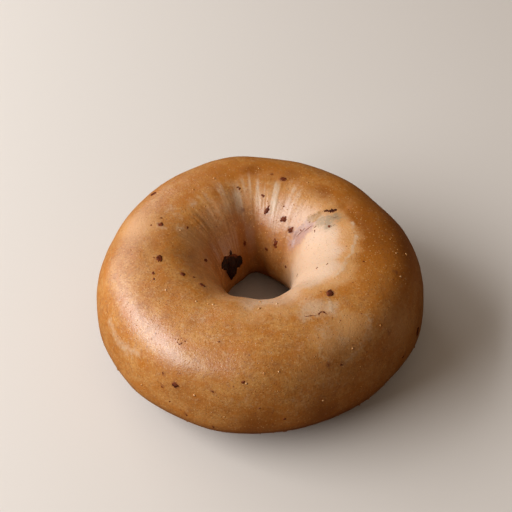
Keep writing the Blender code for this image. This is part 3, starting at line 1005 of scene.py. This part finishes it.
def hang_light(name, size, power, bearing, elevation, tilt):
    """Hang a soft rectangular light, facing the bagel, its front end lowered by a tilt."""
    lamp = bpy.data.lights.new(name, "AREA")
    lamp.shape = "RECTANGLE"
    lamp.size = size[0]
    lamp.size_y = size[1]
    lamp.energy = power
    lamp.color = LIGHT_COLOUR
    light = bpy.data.objects.new(name, lamp)
    turn = math.radians(bearing)
    rise = math.radians(elevation)
    towards = Vector((math.cos(turn) * math.cos(rise), math.sin(turn) * math.cos(rise),
                      math.sin(rise)))
    light.location = towards * LIGHT_DISTANCE
    facing = towards.to_track_quat("Z", "Y").to_matrix()
    light.rotation_euler = (facing @ Matrix.Rotation(math.radians(-tilt), 3, "Z")).to_euler()
    bpy.context.scene.collection.objects.link(light)


class BAGEL_OT_stage(bpy.types.Operator):
    """Lay the pale floor and set the soft light and the camera"""
    bl_idname = "bagel.stage"
    bl_label = "Set stage"

    def execute(self, context):
        stage = context.scene.bagel_stage
        floor = lay_sheet("floor", 0.0, "Pale matt plaster floor", stage.floor)
        floor.visible_diffuse = False
        floor.visible_glossy = False
        floor.visible_shadow = False
        card = lay_sheet("bounce_card", -CARD_DROP, "Warm brown bounce card", stage.card)
        card.visible_camera = False
        card.visible_shadow = False

        world = bpy.data.worlds.new("Soft studio")
        world.use_nodes = True
        back = world.node_tree.nodes["Background"]
        back.inputs["Color"].default_value = stage.sky
        back.inputs["Strength"].default_value = stage.ambient
        world.cycles_visibility.glossy = False
        context.scene.world = world

        hang_light("Window light", (1.0, 0.43), stage.key_power, 191, 35, tilt=18)
        hang_light("Rear window light", (0.8, 0.55), stage.rear_power, 134, 27, tilt=0)

        lens = bpy.data.cameras.new("Camera")
        lens.sensor_width = SENSOR_MM
        lens.lens = stage.lens
        camera = bpy.data.objects.new("Camera", lens)
        elevation = math.radians(CAMERA_ELEVATION)
        back_way = Vector((0, -math.cos(elevation), math.sin(elevation)))
        look = back_way.to_track_quat("Z", "Y").to_matrix().to_4x4()
        roll = Matrix.Rotation(math.radians(CAMERA_ROLL), 4, "Z")
        spot = Vector(CAMERA_AIM) + back_way * CAMERA_DISTANCE
        camera.matrix_world = Matrix.Translation(spot) @ look @ roll
        context.scene.collection.objects.link(camera)
        context.scene.camera = camera
        context.scene.view_settings.view_transform = "Standard"
        return {"FINISHED"}


class BAGEL_PT_panel(bpy.types.Panel):
    """Sizes, colours and build buttons of the bagel"""
    bl_label = "Fruit Bagel"
    bl_idname = "BAGEL_PT_panel"
    bl_space_type = "VIEW_3D"
    bl_region_type = "UI"
    bl_category = "Bagel"

    def draw(self, context):
        for group in (context.scene.bagel_ring, context.scene.bagel_colours,
                      context.scene.bagel_stage):
            box = self.layout.box()
            for name in group.bl_rna.properties.keys():
                if name not in ("name", "rna_type"):
                    box.prop(group, name)
        for operator in OPERATORS:
            self.layout.operator(operator.bl_idname)


OPERATORS = (BAGEL_OT_crust, BAGEL_OT_fruit_bits, BAGEL_OT_tears, BAGEL_OT_blisters,
             BAGEL_OT_crumbs, BAGEL_OT_stage)
CLASSES = (BagelRing, BagelColours, BagelStage, *OPERATORS, BAGEL_PT_panel)


def register():
    """Register the classes and tie the property groups to the scene."""
    for cls in CLASSES:
        bpy.utils.register_class(cls)
    bpy.types.Scene.bagel_ring = PointerProperty(type=BagelRing)
    bpy.types.Scene.bagel_colours = PointerProperty(type=BagelColours)
    bpy.types.Scene.bagel_stage = PointerProperty(type=BagelStage)


def unregister():
    """Undo what register does."""
    del bpy.types.Scene.bagel_stage
    del bpy.types.Scene.bagel_colours
    del bpy.types.Scene.bagel_ring
    for cls in reversed(CLASSES):
        bpy.utils.unregister_class(cls)


def main():
    """Register the classes, and build every piece and the stage."""
    register()
    bpy.ops.bagel.crust()
    bpy.ops.bagel.fruit_bits()
    bpy.ops.bagel.tears()
    bpy.ops.bagel.blisters()
    bpy.ops.bagel.crumbs()
    bpy.ops.bagel.stage()


if __name__ == "__main__":
    main()
